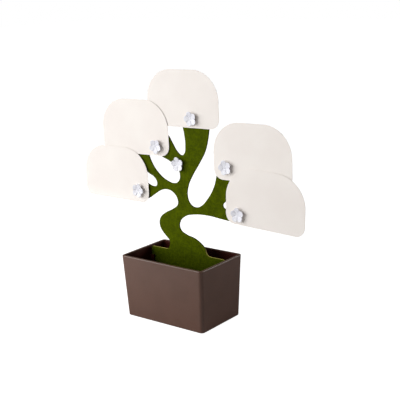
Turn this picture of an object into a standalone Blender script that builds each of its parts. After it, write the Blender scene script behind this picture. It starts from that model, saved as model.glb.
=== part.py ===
"""Desk tree: a flat steel bonsai that stands in a tapered planter box.

Five dome-shaped note cards hang on the branch ends, each under a blossom magnet, and a
sixth blossom sits on the fork. Metres, +Z up, the tree's front faces -Y. The origin is
on the table under the middle of the planter.
"""
import math

import bmesh
import bpy
from mathutils import Matrix, Vector

MM = 0.001
TOUCH_GAP = 0.3 * MM            # between pieces that rest on each other
WELD_DISTANCE = 0.01 * MM
PART_NAME = "desk_tree"

# Planter box
PLANTER_WIDTH = 100.0 * MM      # outside, at the rim
PLANTER_DEPTH = 66.4 * MM       # outside, at the rim
PLANTER_HEIGHT = 62.5 * MM      # underside to rim
PLANTER_TAPER = 2.7 * MM        # how far each side leans in at the underside
PLANTER_WALL = 3.0 * MM
PLANTER_FLOOR = 3.0 * MM
CORNER_RADIUS = 3.8 * MM        # outside upright corners
CAVITY_CORNER_RADIUS = 2.0 * MM
RIM_ROUNDING = 0.8 * MM

# Feet under the planter
FOOT_RADIUS = 4.5 * MM
FOOT_PROUD = 1.0 * MM           # below the underside
FOOT_RECESS = 0.9 * MM          # into the underside
FOOT_INSET = 11.0 * MM          # foot centre from the underside's edges

# Ribs that guide the tree's edges down the end walls
RIB_THICKNESS = 1.6 * MM
RIB_PROUD = 2.5 * MM            # past the end wall, at the floor
RIB_DROP = 9.0 * MM             # rib top below the rim
SLOT_CLEARANCE = 0.3 * MM       # each side of the sheet

# Steel tree
SHEET_THICKNESS = 1.5 * MM
SHEET_FRONT_Y = 9.0 * MM        # front face, behind the planter's middle
SHEET_END_CLEARANCE = 0.6 * MM  # to each end wall
SHOULDER_DROP = 0.5 * MM        # grass line below the rim
SHOULDER_ROUNDING = 3.0 * MM
TRUNK_LEFT_X = -22.4 * MM       # where the trunk meets the grass line
TRUNK_RIGHT_X = 25.0 * MM
TRUNK_FILLET = 4.0 * MM
SHEET_FOOT_ROUNDING = 2.0 * MM

# Note cards
CARD_WIDTH = 86.5 * MM
CARD_HEIGHT = 55.0 * MM
CARD_THICKNESS = 0.35 * MM
CARD_FOOT_RADIUS = 10.0 * MM
CARD_DOME_WIDTH = 30.0 * MM     # sideways reach of each top corner's quarter oval
CARD_DOME_HEIGHT = 29.0 * MM    # and its reach downwards

# Blossom magnets
PETAL_COUNT = 5
PETAL_RADIUS = 3.05 * MM
PETAL_OFFSET = 4.2 * MM         # petal centre from the blossom's axis
POINTS_PER_PETAL = 10
BLOSSOM_HEIGHT = 3.4 * MM
BLOSSOM_ROUNDING = 0.8 * MM
BLOSSOM_FLARE = 0.86            # the back outline as a share of the front one
MAGNET_RADIUS = 3.5 * MM
MAGNET_THICKNESS = 1.5 * MM
MAGNET_CLEARANCE = 0.3 * MM     # in its pocket, all round
HUB_WALL = 0.6 * MM             # least wall round the pocket, at the back

RIM_Z = FOOT_PROUD + PLANTER_HEIGHT
FLOOR_TOP_Z = FOOT_PROUD + PLANTER_FLOOR
SHEET_MIDDLE_Y = SHEET_FRONT_Y + SHEET_THICKNESS / 2
CARD_PITCH = CARD_THICKNESS + TOUCH_GAP
QUARTER_ARC = 4 / 3 * (math.sqrt(2) - 1)    # Bezier handle length of a quarter circle

# Where things hang: x and height above the rim, in mm, and a turn in degrees.
# layer 0 lies on the steel, layer 1 on a layer 0 card, and so on.
NOTES = {
    "top": {"card": (1.5, 125.0), "turn": 0.5, "layer": 0, "blossom": (12.9, 134.0), "spin": 18},
    "upper_left": {"card": (-59.5, 94.0), "turn": 1.0, "layer": 1, "blossom": (-31.5, 104.0), "spin": -33},
    "lower_left": {"card": (-88.0, 44.5), "turn": 0.0, "layer": 2, "blossom": (-56.8, 57.0), "spin": -18},
    "upper_right": {"card": (80.5, 79.0), "turn": 0.5, "layer": 0, "blossom": (51.9, 91.0), "spin": 18},
    "lower_right": {"card": (93.0, 36.5), "turn": -2.0, "layer": 1, "blossom": (65.0, 47.5), "spin": 2},
}
FORK_BLOSSOM = {"blossom": (-5.6, 88.5), "spin": 10}

# The tree's outline above the planter, clockwise from the left shoulder: x and height
# above the rim, in mm.
TRUNK_LEFT = [
    (-21.6, 8.0), (-26.0, 12.8), (-31.3, 18.0), (-34.0, 24.0), (-32.6, 31.0), (-25.5, 37.2),
    (-15.0, 42.8), (-9.4, 47.8), (-9.6, 53.2), (-14.3, 59.0), (-21.5, 61.3),
]
LOWER_LEFT_BRANCH = [
    (-30.0, 59.6), (-38.0, 55.0), (-47.0, 49.3), (-58.0, 46.6), (-68.0, 49.6), (-72.0, 58.0),
    (-67.0, 66.6), (-57.0, 68.6), (-48.0, 65.0), (-40.5, 62.5), (-35.7, 63.8), (-35.0, 67.4),
    (-38.0, 71.8),
]
UPPER_LEFT_BRANCH = [
    (-45.0, 75.3), (-53.0, 80.0), (-59.5, 87.0), (-64.0, 96.0), (-65.5, 106.0), (-61.0, 114.0),
    (-53.5, 114.5), (-48.0, 107.0), (-45.2, 97.0), (-41.0, 86.8), (-33.0, 77.0), (-22.0, 70.2),
    (-11.8, 68.7), (-6.8, 71.8), (-5.2, 77.5), (-8.2, 84.5),
]
UPPER_LEFT_TWIG = [
    (-17.0, 90.1), (-28.0, 94.2), (-37.5, 98.5), (-42.5, 106.5), (-39.0, 115.5), (-29.0, 119.5),
    (-19.5, 116.5), (-13.2, 108.2), (-7.8, 100.7), (-2.4, 97.4), (1.2, 99.4), (2.8, 106.5),
    (2.3, 116.0),
]
TRUNK_TOP = [
    (0.0, 126.0), (-4.5, 134.0), (-3.0, 143.0), (7.0, 149.5), (20.0, 150.5), (32.0, 146.0),
    (36.5, 137.0), (32.5, 127.0), (30.3, 116.0),
]
TRUNK_RIGHT = [
    (26.6, 104.0), (18.7, 91.0), (9.8, 78.0), (4.1, 66.5), (3.2, 56.0), (6.8, 49.4),
    (12.5, 47.3), (19.3, 49.4),
]
UPPER_RIGHT_BRANCH = [
    (28.0, 58.0), (35.0, 68.8), (38.8, 80.0), (40.6, 91.0), (46.0, 100.5), (56.0, 104.5),
    (66.0, 100.5), (69.5, 91.0), (66.0, 80.0), (58.0, 68.0), (49.4, 58.0),
]
LOWER_RIGHT_BRANCH = [
    (45.7, 53.1), (49.5, 50.0), (57.0, 52.6), (67.0, 56.8), (77.0, 54.6), (80.5, 47.0),
    (75.0, 40.4), (62.0, 38.9), (46.0, 39.6), (28.0, 41.0), (10.0, 39.7), (-1.5, 36.0),
    (-8.0, 28.8), (-7.2, 22.2), (-0.5, 18.1), (9.5, 15.7), (17.5, 11.6), (22.6, 6.8),
]


def clear_scene():
    for old in list(bpy.data.objects):
        bpy.data.objects.remove(old, do_unlink=True)


def new_collection(name):
    collection = bpy.data.collections.new(name)
    bpy.context.scene.collection.children.link(collection)
    return collection


def new_material(name, color, roughness, metallic=0.0):
    material = bpy.data.materials.new(name)
    material.use_nodes = True
    shader = material.node_tree.nodes["Principled BSDF"]
    shader.inputs["Base Color"].default_value = (*color, 1.0)
    shader.inputs["Roughness"].default_value = roughness
    shader.inputs["Metallic"].default_value = metallic
    material.diffuse_color = (*color, 1.0)
    return material


def add_mesh_object(name, mesh, collection, material=None):
    obj = bpy.data.objects.new(name, mesh)
    collection.objects.link(obj)
    if material:
        mesh.materials.clear()
        mesh.materials.append(material)
    return obj


def mesh_from_bmesh(name, bm):
    mesh = bpy.data.meshes.new(name)
    bm.to_mesh(mesh)
    bm.free()
    return mesh


def half_size(z):
    """Half width and half depth of the planter's outside at a height."""
    lean = PLANTER_TAPER * (RIM_Z - z) / PLANTER_HEIGHT
    return PLANTER_WIDTH / 2 - lean, PLANTER_DEPTH / 2 - lean


def tapered_box(name, low_z, high_z, wall, corner_radius):
    """A box that follows the planter's taper, `wall` inside its outer faces."""
    bm = bmesh.new()
    bmesh.ops.create_cube(bm, size=1.0)
    for vert in bm.verts:
        z = high_z if vert.co.z > 0 else low_z
        half_x, half_y = half_size(z)
        vert.co = Vector((math.copysign(half_x - wall, vert.co.x),
                          math.copysign(half_y - wall, vert.co.y), z))
    uprights = [e for e in bm.edges if abs(e.verts[0].co.z - e.verts[1].co.z) > 0.5 * (high_z - low_z)]
    bmesh.ops.bevel(bm, geom=uprights, offset=corner_radius, segments=6, profile=0.5, affect="EDGES")
    return mesh_from_bmesh(name, bm)


def box_mesh(name, low, high):
    bm = bmesh.new()
    bmesh.ops.create_cube(bm, size=1.0)
    for vert in bm.verts:
        vert.co = Vector([high[i] if vert.co[i] > 0 else low[i] for i in range(3)])
    return mesh_from_bmesh(name, bm)


def disc_mesh(name, radius, low, high, segments=32):
    bm = bmesh.new()
    bmesh.ops.create_cone(bm, cap_ends=True, segments=segments, radius1=radius, radius2=radius,
                          depth=high - low, matrix=Matrix.Translation((0, 0, (low + high) / 2)))
    return mesh_from_bmesh(name, bm)


def add_boolean(obj, tool, operation):
    modifier = obj.modifiers.new(operation.lower() + "_" + tool.name, "BOOLEAN")
    modifier.operation = operation
    modifier.object = tool
    modifier.solver = "EXACT"


def hide_tool(tool):
    tool.hide_render = True
    tool.display_type = "WIRE"


def foot_places():
    half_x, half_y = half_size(FOOT_PROUD)
    x, y = half_x - FOOT_INSET, half_y - FOOT_INSET
    return [("front_left", -x, -y), ("front_right", x, -y), ("rear_left", -x, y), ("rear_right", x, y)]


def rib_mesh(low, high, side):
    """A rib whose outer end leans with the end wall, so that it stays in the wall."""
    mesh = box_mesh("rib", low, high)
    lean = half_size(high[2])[0] - half_size(low[2])[0]
    outer_x = high[0] if side > 0 else low[0]
    for vert in mesh.vertices:
        if vert.co.z > (low[2] + high[2]) / 2 and abs(vert.co.x - outer_x) < WELD_DISTANCE:
            vert.co.x += side * lean
    return mesh


def build_planter(parts, tools, plastic):
    planter = add_mesh_object(
        "planter", tapered_box("planter", FOOT_PROUD, RIM_Z, 0.0, CORNER_RADIUS), parts, plastic)
    over_rim = 5 * MM
    cavity = add_mesh_object(
        "planter_cavity",
        tapered_box("planter_cavity", FLOOR_TOP_Z, RIM_Z + over_rim, PLANTER_WALL, CAVITY_CORNER_RADIUS),
        tools)
    hide_tool(cavity)
    add_boolean(planter, cavity, "DIFFERENCE")

    rounding = planter.modifiers.new("rim_rounding", "BEVEL")
    rounding.width = RIM_ROUNDING
    rounding.segments = 2
    rounding.limit_method = "ANGLE"
    rounding.angle_limit = math.radians(60)

    floor_half_x = half_size(FLOOR_TOP_Z)[0] - PLANTER_WALL
    into_wall = PLANTER_WALL / 2
    rib_offset = SHEET_THICKNESS / 2 + SLOT_CLEARANCE
    for side in (-1, 1):
        for face in (-1, 1):
            near = SHEET_MIDDLE_Y + face * rib_offset
            far = near + face * RIB_THICKNESS
            inner_x = side * (floor_half_x - RIB_PROUD)
            outer_x = side * (floor_half_x + into_wall)
            low = (min(inner_x, outer_x), min(near, far), FLOOR_TOP_Z - PLANTER_FLOOR / 2)
            high = (max(inner_x, outer_x), max(near, far), RIM_Z - RIB_DROP)
            rib = add_mesh_object("rib", rib_mesh(low, high, side), tools)
            hide_tool(rib)
            add_boolean(planter, rib, "UNION")

    for label, x, y in foot_places():
        recess = add_mesh_object(
            "recess_" + label,
            disc_mesh("recess", FOOT_RADIUS + TOUCH_GAP, -FOOT_RECESS, FOOT_RECESS), tools)
        recess.location = (x, y, FOOT_PROUD)
        hide_tool(recess)
        add_boolean(planter, recess, "DIFFERENCE")
    return planter


def build_feet(parts, rubber):
    top = FOOT_PROUD + FOOT_RECESS - TOUCH_GAP
    mesh = disc_mesh("foot", FOOT_RADIUS, 0.0, top)
    for label, x, y in foot_places():
        foot = add_mesh_object("foot_" + label, mesh, parts, rubber)
        foot.location = (x, y, 0)


def rounded_corner(before, corner, after, reach_in, reach_out):
    """Two knots that turn a corner with a quarter oval: (point, handle in, handle out)."""
    start_way = (before - corner).normalized()
    end_way = (after - corner).normalized()
    start = corner + start_way * reach_in
    end = corner + end_way * reach_out
    start_handle = start - start_way * reach_in * QUARTER_ARC
    end_handle = end - end_way * reach_out * QUARTER_ARC
    return [(start, start + (before - start) / 3, start_handle),
            (end, end_handle, end + (after - end) / 3)]


def outline_knots(corners):
    """Knots of a closed outline. A corner is (x, y, reach in, reach out) or a smooth (x, y)."""
    knots = []
    for index, corner in enumerate(corners):
        point = Vector((corner[0], corner[1], 0))
        if len(corner) == 2:
            knots.append((point, None, None))
            continue
        before = Vector((*corners[index - 1][:2], 0))
        after = Vector((*corners[(index + 1) % len(corners)][:2], 0))
        knots += rounded_corner(before, point, after, corner[2], corner[3])
    return knots


def sheet_from_outline(name, corners, thickness, resolution):
    """A flat sheet, cut to a closed Bezier outline, as a welded mesh centred on its plane."""
    curve = bpy.data.curves.new(name, "CURVE")
    curve.dimensions = "2D"
    curve.fill_mode = "BOTH"
    curve.extrude = thickness / 2
    curve.resolution_u = resolution
    spline = curve.splines.new("BEZIER")
    knots = outline_knots(corners)
    spline.bezier_points.add(len(knots) - 1)
    for bezier, (point, handle_in, handle_out) in zip(spline.bezier_points, knots):
        bezier.co = point
        if handle_in is None:
            bezier.handle_left_type = bezier.handle_right_type = "AUTO"
        else:
            bezier.handle_left_type = bezier.handle_right_type = "FREE"
            bezier.handle_left = handle_in
            bezier.handle_right = handle_out
    spline.use_cyclic_u = True
    return mesh_from_curve(name, curve)


def mesh_from_curve(name, curve):
    temporary = bpy.data.objects.new(name, curve)
    bpy.context.scene.collection.objects.link(temporary)
    evaluated = temporary.evaluated_get(bpy.context.evaluated_depsgraph_get())
    mesh = bpy.data.meshes.new_from_object(evaluated)
    mesh.name = name
    bpy.data.objects.remove(temporary, do_unlink=True)
    bm = bmesh.new()
    bm.from_mesh(mesh)
    bmesh.ops.remove_doubles(bm, verts=bm.verts, dist=WELD_DISTANCE)
    bm.to_mesh(mesh)
    bm.free()
    return mesh


def standing(x, y, z, turn=0.0):
    """Stands a flat piece up with its face to -Y, turned anticlockwise seen from the front."""
    upright = Matrix.Rotation(math.pi / 2, 4, "X")
    return Matrix.Translation((x, y, z)) @ upright @ Matrix.Rotation(turn, 4, "Z")


def tree_outline():
    """The whole closed outline in metres: planter stub, then the tree, clockwise."""
    foot_z = FLOOR_TOP_Z + TOUCH_GAP - RIM_Z
    foot_x = half_size(FLOOR_TOP_Z)[0] - PLANTER_WALL - SHEET_END_CLEARANCE
    shoulder_x = half_size(RIM_Z)[0] - PLANTER_WALL - SHEET_END_CLEARANCE
    shoulder_z = -SHOULDER_DROP
    crown = (TRUNK_LEFT + LOWER_LEFT_BRANCH + UPPER_LEFT_BRANCH + UPPER_LEFT_TWIG + TRUNK_TOP
             + TRUNK_RIGHT + UPPER_RIGHT_BRANCH + LOWER_RIGHT_BRANCH)
    outline = [
        (-foot_x, foot_z, SHEET_FOOT_ROUNDING, SHEET_FOOT_ROUNDING),
        (-shoulder_x, shoulder_z, SHOULDER_ROUNDING, SHOULDER_ROUNDING),
        (TRUNK_LEFT_X, shoulder_z, TRUNK_FILLET, TRUNK_FILLET),
    ]
    outline += [(x * MM, z * MM) for x, z in crown]
    outline += [
        (TRUNK_RIGHT_X, shoulder_z, TRUNK_FILLET, TRUNK_FILLET),
        (shoulder_x, shoulder_z, SHOULDER_ROUNDING, SHOULDER_ROUNDING),
        (foot_x, foot_z, SHEET_FOOT_ROUNDING, SHEET_FOOT_ROUNDING),
    ]
    return outline


def build_tree(parts, steel):
    mesh = sheet_from_outline("tree_plate", tree_outline(), SHEET_THICKNESS, resolution=4)
    tree = add_mesh_object("tree_plate", mesh, parts, steel)
    tree.matrix_world = standing(0, SHEET_MIDDLE_Y, RIM_Z)
    return tree


def card_front_y(layer):
    """The front face of a card, or of the bare steel for layer -1."""
    return SHEET_FRONT_Y - (layer + 1) * CARD_PITCH


def build_note(label, note, parts, tree, paper):
    """A card whose origin is on the axis of its blossom, which it turns about."""
    turn = math.radians(note["turn"])
    pivot = Vector(note["blossom"]) * MM
    to_foot = Matrix.Rotation(-turn, 2) @ (Vector(note["card"]) * MM - pivot)
    left, right = to_foot.x - CARD_WIDTH / 2, to_foot.x + CARD_WIDTH / 2
    foot, top = to_foot.y, to_foot.y + CARD_HEIGHT
    outline = [
        (left, foot, CARD_FOOT_RADIUS, CARD_FOOT_RADIUS),
        (left, top, CARD_DOME_HEIGHT, CARD_DOME_WIDTH),
        (right, top, CARD_DOME_WIDTH, CARD_DOME_HEIGHT),
        (right, foot, CARD_FOOT_RADIUS, CARD_FOOT_RADIUS),
    ]
    mesh = sheet_from_outline("note_" + label, outline, CARD_THICKNESS, resolution=8)
    card = add_mesh_object("note_" + label, mesh, parts, paper)
    middle_y = card_front_y(note["layer"]) + CARD_THICKNESS / 2
    place_on_tree(card, tree, standing(pivot.x, middle_y, RIM_Z + pivot.y, turn))


def place_on_tree(obj, tree, world):
    obj.parent = tree
    obj.matrix_parent_inverse = tree.matrix_world.inverted()
    obj.matrix_basis = world


def petal_reach(angle):
    """Distance from the axis to the blossom's edge, round petals side by side."""
    sector = 2 * math.pi / PETAL_COUNT
    off = (angle + sector / 2) % sector - sector / 2
    return PETAL_OFFSET * math.cos(off) + math.sqrt(PETAL_RADIUS ** 2 - (PETAL_OFFSET * math.sin(off)) ** 2)


def blossom_cap_mesh():
    """A flared five-petalled cap with its back on z = 0, its front at +Z and one petal at +Y."""
    curve = bpy.data.curves.new("blossom_cap", "CURVE")
    curve.dimensions = "2D"
    curve.fill_mode = "BOTH"
    curve.extrude = BLOSSOM_HEIGHT / 2
    spline = curve.splines.new("POLY")
    spline.points.add(POINTS_PER_PETAL * PETAL_COUNT - 1)
    for index, point in enumerate(spline.points):
        angle = 2 * math.pi * index / len(spline.points)
        reach = petal_reach(angle)
        point.co = (reach * math.sin(angle), reach * math.cos(angle), 0, 1)
    spline.use_cyclic_u = True
    mesh = mesh_from_curve("blossom_cap", curve)
    mesh.transform(Matrix.Translation((0, 0, BLOSSOM_HEIGHT / 2)))

    bm = bmesh.new()
    bm.from_mesh(mesh)
    bmesh.ops.dissolve_limit(bm, angle_limit=math.radians(1), verts=bm.verts, edges=bm.edges)
    front = {vert for vert in bm.verts if vert.co.z > BLOSSOM_HEIGHT / 2}
    rim = [edge for edge in bm.edges if set(edge.verts) <= front]
    bmesh.ops.bevel(bm, geom=rim, offset=BLOSSOM_ROUNDING, segments=2, profile=0.5, affect="EDGES")
    hub_radius = MAGNET_RADIUS + MAGNET_CLEARANCE + HUB_WALL
    for vert in bm.verts:
        if vert.co.z < WELD_DISTANCE:
            vert.co.xy *= max(BLOSSOM_FLARE, hub_radius / vert.co.xy.length)
    bm.to_mesh(mesh)
    bm.free()
    return mesh


def build_blossoms(parts, tools, tree, petal_plastic, magnet_metal):
    pocket_depth = MAGNET_THICKNESS + MAGNET_CLEARANCE
    cap_mesh = blossom_cap_mesh()
    magnet_mesh = disc_mesh("magnet", MAGNET_RADIUS, 0.0, MAGNET_THICKNESS)
    pocket_mesh = disc_mesh("pocket", MAGNET_RADIUS + MAGNET_CLEARANCE, -pocket_depth, pocket_depth)
    places = [(label, note["layer"], note) for label, note in NOTES.items()]
    places.append(("fork", -1, FORK_BLOSSOM))
    for label, layer, place in places:
        x, z = (value * MM for value in place["blossom"])
        world = standing(x, card_front_y(layer) - TOUCH_GAP, RIM_Z + z, math.radians(place["spin"]))
        cap = add_mesh_object("blossom_" + label, cap_mesh, parts, petal_plastic)
        magnet = add_mesh_object("magnet_" + label, magnet_mesh, parts, magnet_metal)
        pocket = add_mesh_object("pocket_" + label, pocket_mesh, tools)
        for obj in (cap, magnet, pocket):
            place_on_tree(obj, tree, world)
        hide_tool(pocket)
        add_boolean(cap, pocket, "DIFFERENCE")


def shade(parts):
    done = set()
    for obj in parts.objects:
        if obj.type == "MESH" and obj.data.name not in done:
            done.add(obj.data.name)
            obj.data.shade_smooth()
            obj.data.set_sharp_from_angle(angle=math.radians(35))


def main():
    clear_scene()
    parts = new_collection(PART_NAME)
    tools = new_collection(PART_NAME + "_cutters")
    plastic = new_material("planter_plastic", (0.14, 0.085, 0.062), 0.38)
    steel = new_material("green_steel", (0.045, 0.062, 0.003), 0.55)
    paper = new_material("cream_paper", (0.90, 0.86, 0.80), 0.85)
    petal_plastic = new_material("petal_plastic", (0.80, 0.79, 0.84), 0.25)
    magnet_metal = new_material("magnet_nickel", (0.55, 0.55, 0.56), 0.3, metallic=1.0)
    rubber = new_material("foot_rubber", (0.02, 0.02, 0.02), 0.8)

    build_planter(parts, tools, plastic)
    build_feet(parts, rubber)
    tree = build_tree(parts, steel)
    for label, note in NOTES.items():
        build_note(label, note, parts, tree, paper)
    build_blossoms(parts, tools, tree, petal_plastic, magnet_metal)
    shade(parts)
    bpy.context.view_layer.update()


main()
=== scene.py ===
"""Looks of the desk tree: a flat green steel bonsai in a brown planter, with five cream note
cards on its branches, each held by a white blossom magnet, and a sixth blossom on the fork.

Metres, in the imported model's frame: +Z up, the tree's front faces -Y.
"""
import math

import bmesh
import bpy
from mathutils import Matrix, Vector


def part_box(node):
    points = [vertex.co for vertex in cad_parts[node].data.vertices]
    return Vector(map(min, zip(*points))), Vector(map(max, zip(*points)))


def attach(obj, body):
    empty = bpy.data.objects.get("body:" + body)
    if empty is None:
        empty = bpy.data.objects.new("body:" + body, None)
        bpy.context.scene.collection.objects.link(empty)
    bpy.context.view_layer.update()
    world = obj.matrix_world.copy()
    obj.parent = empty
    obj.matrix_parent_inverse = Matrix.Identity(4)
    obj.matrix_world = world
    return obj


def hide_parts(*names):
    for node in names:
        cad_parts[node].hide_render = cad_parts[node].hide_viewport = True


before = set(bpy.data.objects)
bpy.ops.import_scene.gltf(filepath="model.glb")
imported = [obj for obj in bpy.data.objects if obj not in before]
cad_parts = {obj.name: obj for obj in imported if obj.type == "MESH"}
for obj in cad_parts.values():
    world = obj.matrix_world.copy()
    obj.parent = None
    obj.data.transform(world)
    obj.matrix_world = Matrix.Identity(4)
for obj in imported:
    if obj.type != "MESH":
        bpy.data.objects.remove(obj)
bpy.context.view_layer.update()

MM = 0.001
WELD_DISTANCE = 0.001 * MM

# Shading: edges sharper than these angles, in degrees, stay crisp
PLANTER_SHARP_ANGLE = 40
ROUND_SHARP_ANGLE = 50          # turned discs and blossoms
FLAT_SHARP_ANGLE = 60           # the steel sheet and the cards
FLAT_FACE_WEIGHT = 80           # how much the large faces set the normals

# Planter
PLANTER_WALL = 3.0 * MM
PLANTER_FLOOR = 3.0 * MM
CORNER_RADIUS = 3.8 * MM
CAVITY_CORNER_RADIUS = 2.0 * MM
LEAST_CORNER_RADIUS = 0.4 * MM
RIM_ROUNDING = 0.8 * MM
BASE_ROUNDING = 0.7 * MM
FLOOR_FILLET = 1.2 * MM
FILLET_STEPS = 6
CORNER_STEPS = 12
HOLDING_STRIP = 0.4 * MM        # flat strip beside each rounding, for even shading on the walls
LEVEL_TOLERANCE = 0.05 * MM     # packed points this near a height lie at it
CAVITY_DEPTH = 0.9 * PLANTER_WALL   # faces this far inside the outer faces belong to the cavity
CAVITY_FLOOR_TOLERANCE = 0.1 * MM
RIB_THICKNESS = 1.6 * MM
RIB_PROUD = 2.5 * MM
RIB_DROP = 9.0 * MM             # from the rim down to the ribs' tops
RIB_ROUNDING = 0.35 * MM
RIB_ROUNDING_STEPS = 3
SLOT_CLEARANCE = 0.3 * MM

# Feet and magnets: small turned discs
FOOT_RECESS = 0.9 * MM
FOOT_RECESS_CLEARANCE = 0.3 * MM
FOOT_ROUNDING = 0.45 * MM
MAGNET_ROUNDING = 0.25 * MM
DISC_SEGMENTS = 72
DISC_ROUNDING_STEPS = 5
DISC_STRIP = 1.6                # a flat strip ends this many roundings from a disc's edge

# Steel tree
SHEET_ROUNDING = 0.22 * MM      # eased edge of the cut sheet
SHEET_ROUNDING_STEPS = 3
OUTLINE_SPACING = 2.5 * MM      # longest run between two knots of the outline
OUTLINE_STEPS = 3               # steps of the curve between two knots
FRONT_FACE_LIMIT = 0.9          # how squarely a packed face looks forward to count as the front
COATED_FACE_LIMIT = 0.7         # how squarely a face looks forward or back to count as coated

# Note cards
CARD_FOOT_RADIUS = 10.0 * MM
CARD_DOME_WIDTH = 30.0 * MM
CARD_DOME_HEIGHT = 29.0 * MM
CARD_EDGE_ROUNDING = 0.08 * MM
CARD_CORNER_STEPS = 40
CARD_RINGS = 18
CARD_BOW_START = 40.0 * MM      # the cards are flat this near the tree's middle
CARD_BOW_LENGTH = 90.0 * MM
CARD_BOW = 0.6 * MM             # how far a card leans forward, CARD_BOW_LENGTH beyond the start
# degrees anticlockwise, seen from the front
NOTE_TURNS = {"top": 0.5, "upper_left": 1.0, "lower_left": 0.0, "upper_right": 0.5,
              "lower_right": -2.0}

# Blossoms
PETAL_COUNT = 5
PETAL_RADIUS = 3.05 * MM
PETAL_OFFSET = 4.2 * MM         # from the blossom's axis to a petal's middle
COLUMNS_PER_PETAL = 28
FRONT_RINGS = 44
UNDER_RINGS = 10
LIP_HEIGHT = 3.4 * MM           # petal tips, above the blossom's back
CREASE_LIP_HEIGHT = 3.05 * MM   # the lip dips between the petals
LIP_SHARE = 0.93                # where the lip is highest, as a share of the way out
LIP_THICKNESS = 0.6 * MM
BOWL_HEIGHT = 2.05 * MM
BOWL_START = 0.12               # where the bowl starts to rise, as a share of the way out
CREASE_DEPTH = 0.5 * MM
CREASE_WIDTH = 0.5 * MM
CREASE_START = 1.2 * MM         # the creases deepen between these distances from the axis
CREASE_FULL = 3.0 * MM
UNDER_CURVE = 0.55              # how the petals' backs rise: 1 is straight, less is rounder
HUB_RADIUS = 4.4 * MM           # the petals flare out from a hub round the magnet
HUB_HEIGHT = 0.7 * MM
KNOB_RADIUS = 0.7 * MM
KNOB_HEIGHT = 0.35 * MM
STAMEN_RING = 1.5 * MM          # from the blossom's axis to each stamen
STAMEN_RADIUS = 0.22 * MM
STAMEN_HEIGHT = 0.15 * MM
BACK_CHAMFER = 0.25 * MM
POCKET_CHAMFER = 0.15 * MM
POCKET_RADIUS = 3.8 * MM
POCKET_DEPTH = 1.75 * MM
# degrees anticlockwise, seen from the front
BLOSSOM_SPINS = {"top": 18, "upper_left": -33, "lower_left": -18, "upper_right": 18,
                 "lower_right": 2, "fork": 10}

# Camera, angles in degrees: azimuth 0 looks at the tree's front, positive angles go round to its
# right
CAMERA_TARGET = Vector((25.70, 0.0, 121.86)) * MM
CAMERA_AZIMUTH = 38.067
CAMERA_ELEVATION = 13.914
CAMERA_ROLL = -1.977
CAMERA_DISTANCE = 821.3 * MM
CAMERA_LENS = 77.93             # millimetres, as Blender counts lenses
CAMERA_SENSOR = 36.0

# Floor and sky
FLOOR_SIZE = 12.0
FLOOR_GREYS = (0.50, 0.50, 0.50, 1.0), (0.52, 0.52, 0.52, 1.0)
FLOOR_ROUGHNESS = 0.9
FLOOR_LIFT = 0.95               # light the floor gives off, to the camera only
SKY_COLOR = (1.0, 0.94, 0.88)
SKY_STRENGTH = 0.14
WHITE = (1.0, 1.0, 1.0)


# ---------------------------------------------------------------- materials

def srgb(red, green, blue):
    """Linear colour of an 8-bit display colour."""
    def linear(value):
        share = value / 255
        return share / 12.92 if share <= 0.04045 else ((share + 0.055) / 1.055) ** 2.4
    return (linear(red), linear(green), linear(blue), 1.0)


# Colours: a pair is the two ends of a mottled mix
PLANTER_BROWN = srgb(84, 57, 45), srgb(88, 60, 48)
# painted highlight: the lighter brown along the planter's rim
PLANTER_RIM_HIGHLIGHT = srgb(98, 74, 59)
# painted shade: near-black browns for the planter's cavity
CAVITY_SHADE_BROWN = srgb(52, 12, 5), srgb(56, 15, 7)
# painted highlight along the cavity's inner rim
CAVITY_RIM_HIGHLIGHT = srgb(80, 54, 40)
MOSS_DEEP = srgb(58, 69, 0), srgb(67, 80, 0)
MOSS_LIGHT = srgb(69, 81, 0), srgb(78, 91, 0)
# painted shade: darker moss low on the sheet, towards and inside the planter
MOSS_ROOT_SHADE = srgb(40, 50, 0), srgb(56, 66, 0)
MOSS_FLECK = srgb(90, 102, 8)
# painted shade: the cut edge darker than the coat up in the tree
EDGE_GREEN_SHADE = srgb(40, 48, 0), srgb(50, 58, 4)
# painted highlight: the cut edge pale olive round the planter
EDGE_OLIVE_HIGHLIGHT = srgb(160, 152, 72), srgb(180, 170, 92)
CARD_CREAM = srgb(243, 236, 230), srgb(246, 240, 234)
CARD_FIBRE = srgb(238, 229, 219)
PETAL_WHITE = srgb(229, 229, 237), srgb(235, 235, 241)
NICKEL = srgb(178, 176, 172), srgb(204, 202, 198)
RUBBER = srgb(26, 26, 27), srgb(44, 43, 42)

# Spans of a pattern's values
NOISE_SPAN = (0.3, 0.7)         # the part of plain noise that a pattern uses
FULL_SPAN = (0.0, 1.0)          # a pattern that was spread already

MIX_COLOR_INPUTS = (6, 7)       # a Mix node's colour sockets, which share their names with others
MIX_COLOR_OUTPUT = 2


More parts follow.
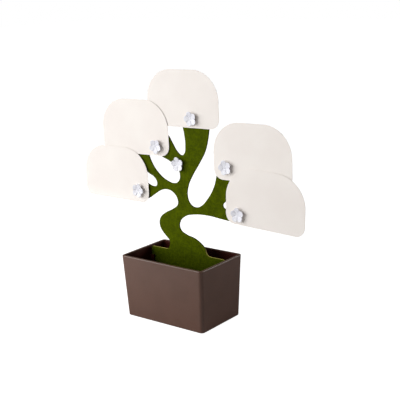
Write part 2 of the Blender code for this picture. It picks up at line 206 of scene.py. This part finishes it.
class Surface:
    """A Principled material whose colour, roughness and relief come from noise at real scales."""

    def __init__(self, name, metallic=0.0, specular=0.5):
        self.material = bpy.data.materials.new(name)
        self.material.use_nodes = True
        self.nodes = self.material.node_tree.nodes
        self.links = self.material.node_tree.links
        self.shader = self.nodes["Principled BSDF"]
        self.shader.inputs["Metallic"].default_value = metallic
        self.shader.inputs["Specular IOR Level"].default_value = specular
        self.place = self.nodes.new("ShaderNodeTexCoord").outputs["Object"]

    def noise(self, grain, detail=3.0, stretch=(1.0, 1.0, 1.0)):
        """Noise whose blotches are about `grain` across, longer along a stretched axis."""
        mapping = self.nodes.new("ShaderNodeMapping")
        mapping.inputs["Scale"].default_value = [1 / (grain * s) for s in stretch]
        texture = self.nodes.new("ShaderNodeTexNoise")
        texture.inputs["Scale"].default_value = 1.0
        texture.inputs["Detail"].default_value = detail
        self.links.new(self.place, mapping.inputs["Vector"])
        self.links.new(mapping.outputs["Vector"], texture.inputs["Vector"])
        return texture.outputs["Fac"]

    def spread(self, value, span, result=(0.0, 1.0)):
        """value, mapped smoothly from the two ends of span to the two ends of result."""
        node = self.nodes.new("ShaderNodeMapRange")
        node.interpolation_type = "SMOOTHSTEP"
        for key, number in zip(("From Min", "From Max", "To Min", "To Max"), (*span, *result)):
            node.inputs[key].default_value = number
        self.links.new(value, node.inputs["Value"])
        return node.outputs["Result"]

    def rim_band(self, start, end, strength=1.0):
        """Rises from 0 to strength between two heights, both measured from the planter's rim."""
        rim_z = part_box("planter")[1].z
        split = self.nodes.new("ShaderNodeSeparateXYZ")
        self.links.new(self.place, split.inputs["Vector"])
        return self.spread(split.outputs["Z"], (rim_z + start, rim_z + end), (0.0, strength))

    def mix(self, factor, first, second):
        """Blends two colours; each is a colour or another mix."""
        node = self.nodes.new("ShaderNodeMix")
        node.data_type = "RGBA"
        self.links.new(factor, node.inputs["Factor"])
        for index, color in zip(MIX_COLOR_INPUTS, (first, second)):
            if isinstance(color, bpy.types.NodeSocket):
                self.links.new(color, node.inputs[index])
            else:
                node.inputs[index].default_value = color
        return node.outputs[MIX_COLOR_OUTPUT]

    def color(self, value):
        self.links.new(value, self.shader.inputs["Base Color"])

    def roughness(self, value, span, result):
        """Roughness that follows a pattern between the two ends of result."""
        self.links.new(self.spread(value, span, result), self.shader.inputs["Roughness"])

    def relief(self, *layers):
        """Stacks bumps, each (noise, depth in metres)."""
        normal = None
        for value, depth in layers:
            bump = self.nodes.new("ShaderNodeBump")
            bump.inputs["Distance"].default_value = depth
            self.links.new(value, bump.inputs["Height"])
            if normal:
                self.links.new(normal, bump.inputs["Normal"])
            normal = bump.outputs["Normal"]
        self.links.new(normal, self.shader.inputs["Normal"])


def planter_plastic(name, browns, rim_highlight, roughness, specular):
    """Moulded plastic with a fine spark-eroded grain, and a painted highlight in a lighter band along
    the rim.
    """
    surface = Surface(name, specular=specular)
    cloud = surface.spread(surface.noise(22 * MM, detail=2.0), (0.35, 0.65))
    grain = surface.noise(0.45 * MM, detail=2.0)
    waves = surface.noise(6 * MM, detail=1.0)
    # painted highlight: a lighter colour from 1.1 mm to 0.2 mm below the rim
    painted_highlight_band = surface.rim_band(-1.1 * MM, -0.2 * MM, strength=0.5)
    surface.color(surface.mix(painted_highlight_band, surface.mix(cloud, *browns), rim_highlight))
    surface.roughness(surface.noise(3.0 * MM), NOISE_SPAN, roughness)
    surface.relief((grain, 0.02 * MM), (waves, 0.03 * MM))
    return surface.material


def moss_coat():
    """Green coating mottled like moss, matt and slightly lumpy, with painted shade making it darker
    towards the planter.
    """
    surface = Surface("moss_coat", specular=0.02)
    lumps = surface.noise(1.7 * MM, detail=4.0)
    crumbs = surface.noise(0.5 * MM)
    patches = surface.spread(surface.noise(9 * MM, detail=3.0), (0.36, 0.64))
    tufts = surface.spread(lumps, (0.34, 0.66))
    flecks = surface.spread(surface.noise(0.7 * MM, detail=2.0), (0.58, 0.72), (0.0, 0.6))
    deep, light = surface.mix(patches, *MOSS_DEEP), surface.mix(patches, *MOSS_LIGHT)
    upper = surface.mix(flecks, surface.mix(tufts, deep, light), MOSS_FLECK)
    # painted shade: darker from 14 mm above the rim down to 8 mm below it
    painted_root_shade = surface.rim_band(14 * MM, -8 * MM, strength=0.7)
    surface.color(surface.mix(painted_root_shade, upper, surface.mix(tufts, *MOSS_ROOT_SHADE)))
    surface.roughness(tufts, FULL_SPAN, (0.62, 0.78))
    surface.relief((lumps, 0.12 * MM), (crumbs, 0.05 * MM))
    return surface.material


def cut_edge():
    """The sheet's cut edge: deep green up in the tree, darkened as painted shade, and pale olive
    round the planter as a painted highlight.
    """
    surface = Surface("moss_cut_edge", specular=0.02)
    streaks = surface.spread(surface.noise(0.8 * MM, detail=2.0), (0.35, 0.65))
    # painted highlight: the edge turns pale olive from 8 mm above the rim downwards
    painted_highlight_band = surface.rim_band(8 * MM, 3 * MM)
    green, highlight_olive = surface.mix(streaks, *EDGE_GREEN_SHADE), surface.mix(streaks, *EDGE_OLIVE_HIGHLIGHT)
    surface.color(surface.mix(painted_highlight_band, green, highlight_olive))
    surface.roughness(streaks, FULL_SPAN, (0.5, 0.62))
    surface.relief((surface.noise(0.6 * MM), 0.03 * MM))
    return surface.material


def card_paper():
    """Smooth uncoated cream card with a faint fibre and a soft unevenness."""
    surface = Surface("card_paper", specular=0.2)
    cloud = surface.spread(surface.noise(30 * MM, detail=2.0), NOISE_SPAN)
    fibre = surface.noise(0.35 * MM, detail=4.0, stretch=(3.0, 1.0, 1.0))
    waves = surface.noise(5 * MM, detail=1.0)
    threads = surface.spread(fibre, (0.55, 0.8), (0.0, 0.4))
    surface.color(surface.mix(threads, surface.mix(cloud, *CARD_CREAM), CARD_FIBRE))
    surface.roughness(surface.noise(2 * MM), NOISE_SPAN, (0.7, 0.82))
    surface.relief((fibre, 0.02 * MM), (waves, 0.04 * MM))
    return surface.material


def petal_plastic():
    """White glossy plastic with a faint lilac tint."""
    surface = Surface("petal_plastic", specular=0.5)
    cloud = surface.spread(surface.noise(4 * MM, detail=2.0), NOISE_SPAN)
    surface.color(surface.mix(cloud, *PETAL_WHITE))
    surface.roughness(surface.noise(1.2 * MM), NOISE_SPAN, (0.24, 0.34))
    surface.relief((surface.noise(1.5 * MM, detail=1.0), 0.03 * MM))
    surface.shader.inputs["Coat Weight"].default_value = 0.15
    surface.shader.inputs["Coat Roughness"].default_value = 0.12
    return surface.material


def magnet_nickel():
    """Bright nickel plate with fine scratches."""
    surface = Surface("magnet_nickel", metallic=1.0)
    scratches = surface.noise(0.3 * MM, detail=3.0, stretch=(8.0, 1.0, 1.0))
    surface.color(surface.mix(scratches, *NICKEL))
    surface.roughness(scratches, NOISE_SPAN, (0.2, 0.38))
    surface.relief((scratches, 0.008 * MM))
    return surface.material


def foot_rubber():
    """Matt black rubber with a dusty bloom."""
    surface = Surface("foot_rubber", specular=0.3)
    bloom = surface.spread(surface.noise(1.5 * MM), (0.35, 0.7))
    surface.color(surface.mix(bloom, *RUBBER))
    surface.roughness(bloom, FULL_SPAN, (0.78, 0.9))
    surface.relief((surface.noise(0.4 * MM), 0.04 * MM))
    return surface.material


# ---------------------------------------------------------------- objects and meshes

def add_object(name, data):
    obj = bpy.data.objects.new(name, data)
    bpy.context.scene.collection.objects.link(obj)
    return obj


def add_piece(name, mesh, body, slot, *materials):
    """A visible piece that rides on a body and takes the given materials; the slot is not used."""
    obj = add_object(name, mesh)
    mesh.materials.clear()
    for material in materials:
        mesh.materials.append(material)
    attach(obj, body)
    return obj


def smooth(mesh, sharp_angle):
    """Smooth shading, except across edges sharper than the angle in degrees."""
    mesh.shade_smooth()
    mesh.set_sharp_from_angle(angle=math.radians(sharp_angle))


def keep_flats_flat(obj):
    """Lets the large faces set the normals, so that they don't look puffed up."""
    weighted = obj.modifiers.new("flat_faces", "WEIGHTED_NORMAL")
    weighted.weight = FLAT_FACE_WEIGHT
    weighted.keep_sharp = True


def finished_mesh(bm, name):
    """A mesh with the bmesh's shape; the bmesh is freed."""
    mesh = bpy.data.meshes.new(name)
    bm.to_mesh(mesh)
    bm.free()
    return mesh


def loft(name, rings):
    """A closed solid through rings of equally many points, with a cap at each end."""
    bm = bmesh.new()
    loops = [[bm.verts.new(point) for point in ring] for ring in rings]
    count = len(rings[0])
    for near, far in zip(loops, loops[1:]):
        for i in range(count):
            j = (i + 1) % count
            bm.faces.new((near[i], near[j], far[j], far[i]))
    bm.faces.new(list(reversed(loops[0])))
    bm.faces.new(loops[-1])
    bmesh.ops.remove_doubles(bm, verts=bm.verts, dist=WELD_DISTANCE)
    bmesh.ops.recalc_face_normals(bm, faces=bm.faces)
    return finished_mesh(bm, name)


def quarter(steps):
    """Angles in radians from 0 to a quarter turn, in equal steps."""
    return [math.pi / 2 * step / steps for step in range(steps + 1)]


def evaluated_mesh(obj):
    """The object's mesh with its modifiers applied; the object itself is removed."""
    bpy.context.view_layer.update()
    shape = obj.evaluated_get(bpy.context.evaluated_depsgraph_get())
    mesh = bpy.data.meshes.new_from_object(shape)
    bpy.data.objects.remove(obj, do_unlink=True)
    return mesh


def smoothstep(low, high, value):
    """0 below low, 1 above high, and an S curve between them."""
    share = min(max((value - low) / (high - low), 0.0), 1.0)
    return share * share * (3 - 2 * share)


def cad_points(node):
    """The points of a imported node, which are in the shared frame."""
    return [vert.co.copy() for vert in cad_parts[node].data.vertices]


def facing_front(x, y, z, turn=0.0):
    """Stands a flat piece up with its face to -Y, turned anticlockwise seen from the front."""
    stand_up = Matrix.Rotation(math.pi / 2, 4, "X")
    return Matrix.Translation((x, y, z)) @ stand_up @ Matrix.Rotation(turn, 4, "Z")


# ---------------------------------------------------------------- planter and feet

class PlanterShape:
    """The planter's outer faces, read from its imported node, and the rings that loft its shell."""

    def __init__(self):
        low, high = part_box("planter")
        self.base_z, self.rim_z = low.z, high.z
        self.floor_z = low.z + PLANTER_FLOOR
        self.wall_half = (high.x, high.y)
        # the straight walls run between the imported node's roundings, so the draft is measured there
        self.wall_top_z = high.z - RIM_ROUNDING
        wall_foot_z = low.z + RIM_ROUNDING
        foot_x = max(point.x for point in cad_points("planter")
                     if abs(point.z - wall_foot_z) < LEVEL_TOLERANCE)
        self.draft = (high.x - foot_x) / (self.wall_top_z - wall_foot_z)

    def half_size(self, z):
        """Half the planter's width and depth at one height."""
        lean = self.draft * (self.wall_top_z - z)
        return self.wall_half[0] - lean, self.wall_half[1] - lean

    def ring(self, inset, z):
        """Points round the planter at one height, `inset` inside its outer faces."""
        if inset < PLANTER_WALL / 2:
            radius = CORNER_RADIUS - inset
        else:
            radius = max(CAVITY_CORNER_RADIUS + PLANTER_WALL - inset, LEAST_CORNER_RADIUS)
        half_x, half_y = (half - inset for half in self.half_size(z))
        points = []
        for start, side_x, side_y in ((0, 1, 1), (1, -1, 1), (2, -1, -1), (3, 1, -1)):
            middle = Vector((side_x * (half_x - radius), side_y * (half_y - radius), z))
            for turn in quarter(CORNER_STEPS):
                angle = turn + start * math.pi / 2
                points.append(middle + radius * Vector((math.cos(angle), math.sin(angle), 0)))
        return points

    def profile(self):
        """(inset, height) from the underside's edge, over the rim, to the cavity's floor."""
        base, rim, floor = BASE_ROUNDING, RIM_ROUNDING, FLOOR_FILLET
        inner = PLANTER_WALL - rim
        turns = quarter(FILLET_STEPS)
        path = [(base + HOLDING_STRIP, self.base_z)]
        path += [(base * (1 - math.sin(a)), self.base_z + base * (1 - math.cos(a))) for a in turns]
        path.append((0.0, self.base_z + base + HOLDING_STRIP))
        path.append((0.0, self.rim_z - rim - HOLDING_STRIP))
        path += [(rim * (1 - math.cos(a)), self.rim_z - rim * (1 - math.sin(a))) for a in turns]
        path += [(inner + rim * math.sin(a), self.rim_z - rim * (1 - math.cos(a))) for a in turns]
        path.append((PLANTER_WALL, self.rim_z - rim - HOLDING_STRIP))
        path.append((PLANTER_WALL, self.floor_z + floor + HOLDING_STRIP))
        path += [(PLANTER_WALL + floor * (1 - math.cos(a)),
                  self.floor_z + floor * (1 - math.sin(a))) for a in turns]
        path.append((PLANTER_WALL + floor + HOLDING_STRIP, self.floor_z))
        return path


def rib_block(low, high, lean, side):
    """A rounded rib whose outer end leans with the end wall."""
    middle_x, middle_z = (low[0] + high[0]) / 2, (low[2] + high[2]) / 2
    bm = bmesh.new()
    bmesh.ops.create_cube(bm, size=1.0)
    for vert in bm.verts:
        vert.co = Vector([high[i] if vert.co[i] > 0 else low[i] for i in range(3)])
        if vert.co.z > middle_z and vert.co.x * side > middle_x * side:
            vert.co.x += side * lean
    bmesh.ops.bevel(bm, geom=list(bm.edges), offset=RIB_ROUNDING, segments=RIB_ROUNDING_STEPS,
                    profile=0.5, affect="EDGES")
    return finished_mesh(bm, "rib")


def with_boolean(target, tool, operation):
    """Joins a tool to the target or cuts it out, when the target is evaluated."""
    modifier = target.modifiers.new(operation.lower(), "BOOLEAN")
    modifier.operation = operation
    modifier.object = tool
    modifier.solver = "EXACT"


def add_ribs(planter, shape):
    """Joins on four ribs that guide the sheet down the end walls; gives the tools it used."""
    sheet_low, sheet_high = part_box("tree_plate")
    tools = []
    top_z = shape.rim_z - RIB_DROP
    bottom_z = shape.floor_z - PLANTER_FLOOR / 2
    floor_half = shape.half_size(shape.floor_z)[0] - PLANTER_WALL
    lean = shape.half_size(top_z)[0] - shape.half_size(bottom_z)[0]
    slot_sides = ((sheet_low.y - SLOT_CLEARANCE, -1), (sheet_high.y + SLOT_CLEARANCE, 1))
    for side in (-1, 1):
        inner_x, outer_x = floor_half - RIB_PROUD, floor_half + PLANTER_WALL / 2
        low_x, high_x = sorted((side * inner_x, side * outer_x))
        for near, outward in slot_sides:
            low_y, high_y = sorted((near, near + outward * RIB_THICKNESS))
            mesh = rib_block((low_x, low_y, bottom_z), (high_x, high_y, top_z), lean, side)
            tool = add_object("rib", mesh)
            with_boolean(planter, tool, "UNION")
            tools.append(tool)
    return tools


def cut_foot_recesses(planter, shape, feet):
    """Cuts a round seat for each foot in the underside; gives the tools it used."""
    tools = []
    for foot in feet:
        low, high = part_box(foot)
        radius = (high.x - low.x) / 2 + FOOT_RECESS_CLEARANCE
        bm = bmesh.new()
        bmesh.ops.create_cone(bm, cap_ends=True, segments=DISC_SEGMENTS, radius1=radius,
                              radius2=radius, depth=2 * FOOT_RECESS)
        tool = add_object("foot_recess", finished_mesh(bm, "foot_recess"))
        tool.location = ((low.x + high.x) / 2, (low.y + high.y) / 2, shape.base_z)
        with_boolean(planter, tool, "DIFFERENCE")
        tools.append(tool)
    return tools


def make_planter(feet):
    shape = PlanterShape()
    shell = loft("planter_shell", [shape.ring(inset, z) for inset, z in shape.profile()])
    draft = add_object("planter_draft", shell)
    tools = add_ribs(draft, shape) + cut_foot_recesses(draft, shape, feet)
    mesh = evaluated_mesh(draft)
    for tool in tools:
        bpy.data.objects.remove(tool, do_unlink=True)
    smooth(mesh, PLANTER_SHARP_ANGLE)
    outside = planter_plastic("planter_satin", PLANTER_BROWN, PLANTER_RIM_HIGHLIGHT,
                              roughness=(0.28, 0.37), specular=0.62)
    # painted shade: the cavity takes a near-black brown with little sheen
    inside = planter_plastic("planter_inside_painted_shade", CAVITY_SHADE_BROWN, CAVITY_RIM_HIGHLIGHT,
                             roughness=(0.56, 0.65), specular=0.12)
    planter = add_piece("planter_box", mesh, "planter", "planter", outside, inside)
    # faces inside the cavity take the painted shade
    for face in mesh.polygons:
        half_x, half_y = shape.half_size(face.center.z)
        within = (abs(face.center.x) < half_x - CAVITY_DEPTH
                  and abs(face.center.y) < half_y - CAVITY_DEPTH
                  and face.center.z > shape.floor_z - CAVITY_FLOOR_TOLERANCE)
        face.material_index = 1 if within else 0
    keep_flats_flat(planter)
    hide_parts("planter")


def turned_disc(node, rounding, axis):
    """A disc that fills a packed disc's box, with rounded rims, turned about Y or Z."""
    low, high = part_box(node)
    middle = (low + high) / 2
    depth = high.y - low.y if axis == "Y" else high.z - low.z
    radius = (high.x - low.x) / 2
    side = [(radius / 2, -depth / 2), (radius - rounding * DISC_STRIP, -depth / 2)]
    side += [(radius - rounding * (1 - math.sin(a)), -depth / 2 + rounding * (1 - math.cos(a)))
             for a in quarter(DISC_ROUNDING_STEPS)]
    profile = side + [(r, -h) for r, h in reversed(side)]
    turns = [2 * math.pi * i / DISC_SEGMENTS for i in range(DISC_SEGMENTS)]
    mesh = loft(node, [[Vector((r * math.cos(a), r * math.sin(a), h)) for a in turns]
                       for r, h in profile])
    turn = Matrix.Rotation(math.pi / 2, 4, "X") if axis == "Y" else Matrix.Identity(4)
    mesh.transform(Matrix.Translation(middle) @ turn)
    smooth(mesh, ROUND_SHARP_ANGLE)
    return mesh


def make_feet(feet):
    rubber = foot_rubber()
    for foot in feet:
        mesh = turned_disc(foot, FOOT_ROUNDING, "Z")
        piece = add_piece(foot + "_pad", mesh, "planter", "foot", rubber)
        keep_flats_flat(piece)
        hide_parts(foot)


# ---------------------------------------------------------------- steel tree

def front_outline(node):
    """The closed outline of a sheet's front face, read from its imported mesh, as (x, z) points."""
    bm = bmesh.new()
    bm.from_mesh(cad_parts[node].data)
    bmesh.ops.remove_doubles(bm, verts=bm.verts, dist=WELD_DISTANCE)
    bm.normal_update()
    neighbours = {}
    for edge in bm.edges:
        fronts = [face for face in edge.link_faces if face.normal.y < -FRONT_FACE_LIMIT]
        if len(fronts) == 1 and len(edge.link_faces) == 2:
            a, b = edge.verts
            neighbours.setdefault(a, []).append(b)
            neighbours.setdefault(b, []).append(a)
    start = min(neighbours, key=lambda vert: (vert.co.x, vert.co.z))
    outline, previous, here = [], None, start
    while True:
        outline.append(Vector((here.co.x, here.co.z)))
        ahead = [vert for vert in neighbours[here] if vert is not previous]
        previous, here = here, ahead[0]
        if here is start:
            break
    bm.free()
    return outline


def even_knots(outline, spacing):
    """The outline with points added along its long straight runs."""
    knots = []
    for a, b in zip(outline, outline[1:] + outline[:1]):
        runs = max(1, math.ceil((b - a).length / spacing))
        knots += [a.lerp(b, run / runs) for run in range(runs)]
    return knots


def make_tree():
    low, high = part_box("tree_plate")
    curve = bpy.data.curves.new("tree_sheet", "CURVE")
    curve.dimensions = "2D"
    curve.fill_mode = "BOTH"
    curve.extrude = (high.y - low.y) / 2 - SHEET_ROUNDING
    curve.bevel_depth = SHEET_ROUNDING
    curve.bevel_resolution = SHEET_ROUNDING_STEPS
    curve.offset = -SHEET_ROUNDING
    curve.resolution_u = OUTLINE_STEPS
    knots = even_knots(front_outline("tree_plate"), OUTLINE_SPACING)
    spline = curve.splines.new("BEZIER")
    spline.bezier_points.add(len(knots) - 1)
    for bezier, knot in zip(spline.bezier_points, knots):
        bezier.co = (*knot, 0)
        bezier.handle_left_type = bezier.handle_right_type = "AUTO"
    spline.use_cyclic_u = True
    mesh = evaluated_mesh(add_object("tree_draft", curve))
    bm = bmesh.new()
    bm.from_mesh(mesh)
    bmesh.ops.remove_doubles(bm, verts=bm.verts, dist=WELD_DISTANCE)
    bm.to_mesh(mesh)
    bm.free()
    mesh.transform(facing_front(0, (low.y + high.y) / 2, 0))
    smooth(mesh, FLAT_SHARP_ANGLE)
    tree = add_piece("tree_sheet", mesh, "tree", "tree", moss_coat(), cut_edge())
    for face in mesh.polygons:
        face.material_index = 0 if abs(face.normal.y) > COATED_FACE_LIMIT else 1
    keep_flats_flat(tree)
    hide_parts("tree_plate")


# ---------------------------------------------------------------- note cards

def card_outline(left, right, foot, top):
    """Points round a card with two round lower corners and a broad oval at each upper corner."""
    corners = (
        (right, top, CARD_DOME_WIDTH, CARD_DOME_HEIGHT, 1, 1),
        (left, top, CARD_DOME_WIDTH, CARD_DOME_HEIGHT, -1, 1),
        (left, foot, CARD_FOOT_RADIUS, CARD_FOOT_RADIUS, -1, -1),
        (right, foot, CARD_FOOT_RADIUS, CARD_FOOT_RADIUS, 1, -1),
    )
    points = []
    for index, (x, y, reach_x, reach_y, side_x, side_y) in enumerate(corners):
        for turn in quarter(CARD_CORNER_STEPS):
            angle = turn + index * math.pi / 2
            points.append(Vector((x - side_x * reach_x + reach_x * math.cos(angle),
                                  y - side_y * reach_y + reach_y * math.sin(angle))))
    return points


def card_bow(x):
    """How far a card stands forward: the outer ends lean off the steel a little."""
    return CARD_BOW * (max(abs(x) - CARD_BOW_START, 0.0) / CARD_BOW_LENGTH) ** 2


def make_note(label, paper):
    """A card with rounded edges: rings that grow to the outline, then shrink on its other face."""
    node = "note_" + label
    low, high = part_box(node)
    turn = math.radians(NOTE_TURNS[label])
    turned = Matrix.Rotation(-turn, 2)
    flat = [turned @ Vector((point.x, point.z)) for point in cad_points(node)]
    left, right = min(p.x for p in flat), max(p.x for p in flat)
    foot, top = min(p.y for p in flat), max(p.y for p in flat)
    middle = Vector(((left + right) / 2, (foot + top) / 2))
    outline = card_outline(left, right, foot, top)
    half = (high.y - low.y) / 2
    reach = max(right - left, top - foot) / 2
    edge = 1 - CARD_EDGE_ROUNDING / reach

    shares = [edge * (ring + 1) / CARD_RINGS for ring in range(CARD_RINGS)]
    layers = [(share, -half) for share in shares] + [(1.0, -half + CARD_EDGE_ROUNDING)]
    layers += [(share, -depth) for share, depth in reversed(layers)]
    rings = []
    for share, depth in layers:
        ring = []
        for point in outline:
            spot = turned.inverted() @ (middle + share * (point - middle))
            ring.append(Vector((spot.x, (low.y + high.y) / 2 + depth - card_bow(spot.x), spot.y)))
        rings.append(ring)
    mesh = loft(node, rings)
    smooth(mesh, FLAT_SHARP_ANGLE)
    card = add_piece(node + "_card", mesh, node, "note", paper)
    keep_flats_flat(card)
    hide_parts(node)


# ---------------------------------------------------------------- blossoms and magnets

def petal_offset_angle(angle):
    """The angle to the nearest petal's middle line."""
    sector = 2 * math.pi / PETAL_COUNT
    return (angle + sector / 2) % sector - sector / 2


def petal_reach(angle):
    """Distance from the axis to the blossom's edge: round petals side by side."""
    off = petal_offset_angle(angle)
    across = PETAL_OFFSET * math.sin(off)
    return PETAL_OFFSET * math.cos(off) + math.sqrt(PETAL_RADIUS ** 2 - across ** 2)


def lip_height(angle):
    """Height of the wavy lip: high at the petal tips, low between them."""
    tip = (1 + math.cos(PETAL_COUNT * angle)) / 2
    return CREASE_LIP_HEIGHT + (LIP_HEIGHT - CREASE_LIP_HEIGHT) * math.sqrt(tip)


def heart_height(radius, angle):
    """The small knob in the middle, and five stamens between the petals round it."""
    height = 0.0
    if radius < KNOB_RADIUS:
        height = KNOB_HEIGHT * math.sqrt(1 - (radius / KNOB_RADIUS) ** 2)
    to_crease = petal_offset_angle(angle + math.pi / PETAL_COUNT)
    away = math.hypot(radius * math.cos(to_crease) - STAMEN_RING, radius * math.sin(to_crease))
    return height + STAMEN_HEIGHT * math.exp(-(away / STAMEN_RADIUS) ** 2)


def front_height(radius, angle):
    """The inside of the flared bowl: creased between the petals, rolled over at the lip."""
    share = radius / petal_reach(angle)
    lip = lip_height(angle)
    if share > LIP_SHARE:
        over = (share - LIP_SHARE) / (1 - LIP_SHARE)
        return lip - LIP_THICKNESS / 2 * (1 - math.sqrt(max(1 - over ** 2, 0.0)))
    rise = max(share - BOWL_START, 0.0) / (LIP_SHARE - BOWL_START)
    to_crease = petal_offset_angle(angle + math.pi / PETAL_COUNT)
    crease = CREASE_DEPTH * math.exp(-(radius * math.sin(to_crease) / CREASE_WIDTH) ** 2)
    crease *= smoothstep(CREASE_START, CREASE_FULL, radius)
    return BOWL_HEIGHT + (lip - BOWL_HEIGHT) * rise - crease + heart_height(radius, angle)


def blossom_mesh():
    """A blossom with its back on z = 0, its front at +Z and one petal at +Y."""
    columns = COLUMNS_PER_PETAL * PETAL_COUNT
    angles = [2 * math.pi * column / columns for column in range(columns)]

    def ring(radius_at, height_at):
        points = []
        for angle in angles:
            radius = radius_at(angle)
            points.append(Vector((radius * math.sin(angle), radius * math.cos(angle),
                                  height_at(radius, angle))))
        return points

    def under_radius(share):
        return lambda angle: HUB_RADIUS + (petal_reach(angle) - HUB_RADIUS) * share

    def under_height(share):
        rise = share ** UNDER_CURVE
        return lambda radius, angle: (
            HUB_HEIGHT + (lip_height(angle) - LIP_THICKNESS - HUB_HEIGHT) * rise)

    turned = [
        (POCKET_RADIUS / 2, POCKET_DEPTH),
        (POCKET_RADIUS, POCKET_DEPTH),
        (POCKET_RADIUS, POCKET_CHAMFER),
        (POCKET_RADIUS + POCKET_CHAMFER, 0.0),
        (HUB_RADIUS - BACK_CHAMFER, 0.0),
        (HUB_RADIUS, BACK_CHAMFER),
        (HUB_RADIUS, HUB_HEIGHT),
    ]
    rings = [ring(lambda angle, r=r: r, lambda radius, angle, h=h: h) for r, h in turned]
    for step in range(1, UNDER_RINGS + 1):
        share = math.sin(math.pi / 2 * step / UNDER_RINGS)
        rings.append(ring(under_radius(share), under_height(share)))
    for step in range(FRONT_RINGS):
        share = math.cos(math.pi / 2 * step / FRONT_RINGS)
        rings.append(ring(lambda angle, share=share: share * petal_reach(angle), front_height))
    mesh = loft("blossom", rings)
    smooth(mesh, ROUND_SHARP_ANGLE)
    return mesh


def make_blossom(label, petals, nickel):
    magnet, cap = "magnet_" + label, "blossom_" + label
    low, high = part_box(magnet)
    axis = (low + high) / 2
    back_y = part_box(cap)[1].y
    mesh = blossom_mesh()
    mesh.transform(facing_front(axis.x, back_y, axis.z, math.radians(BLOSSOM_SPINS[label])))
    piece = add_piece(cap + "_cap", mesh, cap, "blossom", petals)
    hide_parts(cap)
    mesh = turned_disc(magnet, MAGNET_ROUNDING, "Y")
    disc = add_piece(magnet + "_disc", mesh, cap, "magnet", nickel)
    keep_flats_flat(disc)
    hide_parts(magnet)


# ---------------------------------------------------------------- stage, lights and camera

def direction(azimuth, elevation):
    """From the target towards a viewer or a light."""
    a, e = math.radians(azimuth), math.radians(elevation)
    return Vector((math.sin(a) * math.cos(e), -math.cos(a) * math.cos(e), math.sin(e)))


def make_floor():
    """A pale table, lifted towards white where it is seen, as in a cut-out product picture."""
    surface = Surface("floor_white", specular=0.0)
    cloud = surface.spread(surface.noise(400 * MM, detail=1.0), NOISE_SPAN)
    surface.color(surface.mix(cloud, *FLOOR_GREYS))
    surface.shader.inputs["Roughness"].default_value = FLOOR_ROUGHNESS
    surface.shader.inputs["Emission Color"].default_value = (*WHITE, 1.0)
    seen = surface.nodes.new("ShaderNodeLightPath").outputs["Is Camera Ray"]
    lift = surface.spread(seen, FULL_SPAN, (0.0, FLOOR_LIFT))
    surface.links.new(lift, surface.shader.inputs["Emission Strength"])
    bpy.ops.mesh.primitive_plane_add(size=FLOOR_SIZE)
    floor = bpy.context.object
    floor.name = "floor"
    floor.data.materials.append(surface.material)


def area_light(name, width, height, power, color=WHITE):
    lamp = bpy.data.lights.new(name, "AREA")
    lamp.shape = "RECTANGLE"
    lamp.size = width
    lamp.size_y = height
    lamp.energy = power
    lamp.color = color
    return add_object(name, lamp)


def soft_box(name, azimuth, elevation, distance, width, height, power, color=WHITE):
    """A light that looks at the object."""
    light = area_light(name, width, height, power, color)
    way = direction(azimuth, elevation)
    light.location = CAMERA_TARGET + way * distance
    light.rotation_euler = way.to_track_quat("Z", "Y").to_euler()


def table_light(name, azimuth, distance, height, size, power):
    """A light that looks straight down, so that the planter mirrors a bright patch of table."""
    light = area_light(name, size, size, power)
    light.location = direction(azimuth, 0) * distance + Vector((0, 0, height))


def make_world():
    """A soft even sky, plain white where the camera sees it."""
    world = bpy.data.worlds.new("studio")
    world.use_nodes = True
    nodes, links = world.node_tree.nodes, world.node_tree.links
    sky = nodes["Background"]
    sky.inputs["Color"].default_value = (*SKY_COLOR, 1.0)
    sky.inputs["Strength"].default_value = SKY_STRENGTH
    backdrop = nodes.new("ShaderNodeBackground")
    backdrop.inputs["Color"].default_value = (*WHITE, 1.0)
    choice = nodes.new("ShaderNodeMixShader")
    links.new(nodes.new("ShaderNodeLightPath").outputs["Is Camera Ray"], choice.inputs["Fac"])
    links.new(sky.outputs["Background"], choice.inputs[1])
    links.new(backdrop.outputs["Background"], choice.inputs[2])
    links.new(choice.outputs["Shader"], nodes["World Output"].inputs["Surface"])
    bpy.context.scene.world = world


def make_camera():
    back = direction(CAMERA_AZIMUTH, CAMERA_ELEVATION)
    right = (-back).cross(Vector((0, 0, 1))).normalized()
    up = right.cross(-back)
    roll = math.radians(CAMERA_ROLL)
    tilted_right = math.cos(roll) * right + math.sin(roll) * up
    tilted_up = math.cos(roll) * up - math.sin(roll) * right
    lens = bpy.data.cameras.new("camera")
    lens.lens = CAMERA_LENS
    lens.sensor_width = CAMERA_SENSOR
    camera = add_object("camera", lens)
    axes = Matrix((tilted_right, tilted_up, back)).transposed().to_4x4()
    camera.matrix_world = Matrix.Translation(CAMERA_TARGET + back * CAMERA_DISTANCE) @ axes
    bpy.context.scene.camera = camera


def main():
    feet = [node for node in sorted(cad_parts) if node.startswith("foot_")]
    make_planter(feet)
    make_feet(feet)
    make_tree()
    paper = card_paper()
    for label in NOTE_TURNS:
        make_note(label, paper)
    petals, nickel = petal_plastic(), magnet_nickel()
    for label in BLOSSOM_SPINS:
        make_blossom(label, petals, nickel)
    make_floor()
    make_world()
    soft_box("key", azimuth=-38, elevation=10, distance=1.1, width=1.7, height=1.2, power=21.8,
             color=(0.985, 0.99, 1.0))
    table_light("table_glow", azimuth=-46, distance=0.28, height=0.12, size=0.30, power=0.38)
    soft_box("fill", azimuth=143, elevation=12, distance=1.6, width=0.8, height=0.8, power=11.0)
    make_camera()
    bpy.context.scene.view_settings.view_transform = "Standard"


main()
